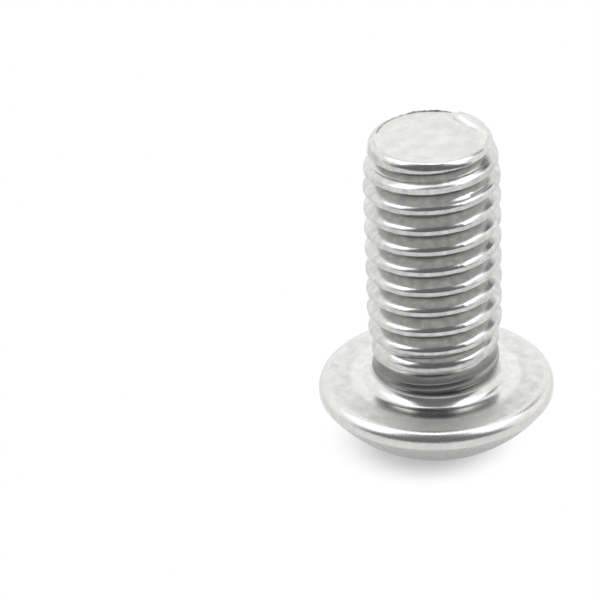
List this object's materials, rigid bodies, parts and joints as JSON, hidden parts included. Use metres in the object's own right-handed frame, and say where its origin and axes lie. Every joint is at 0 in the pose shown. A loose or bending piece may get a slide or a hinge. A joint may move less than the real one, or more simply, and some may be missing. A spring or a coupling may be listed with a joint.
{
  "type": "machine screw",
  "caption": "Fully threaded machine screw with a low domed head, a hexagon socket and a short plain neck, standing on its head; it clamps parts together and is driven with a hex key.",
  "frame": {"origin": "centre of the flat bearing face under the head, on the screw's axis", "axes": "+Z along the shank from the bearing face to the tip; -Y is the side that faces the picture; the screw stands on the crown of its head with the tip up"},
  "size_m": [0.0166, 0.0166, 0.024],
  "materials": {
    "stainless_steel": "bright stainless steel: rolled thread semi-polished, bearing face finely turned, tip face matt, dome satin"
  },
  "bodies": {
    "root": {"screw": "stainless_steel"}
  },
  "joints": []
}
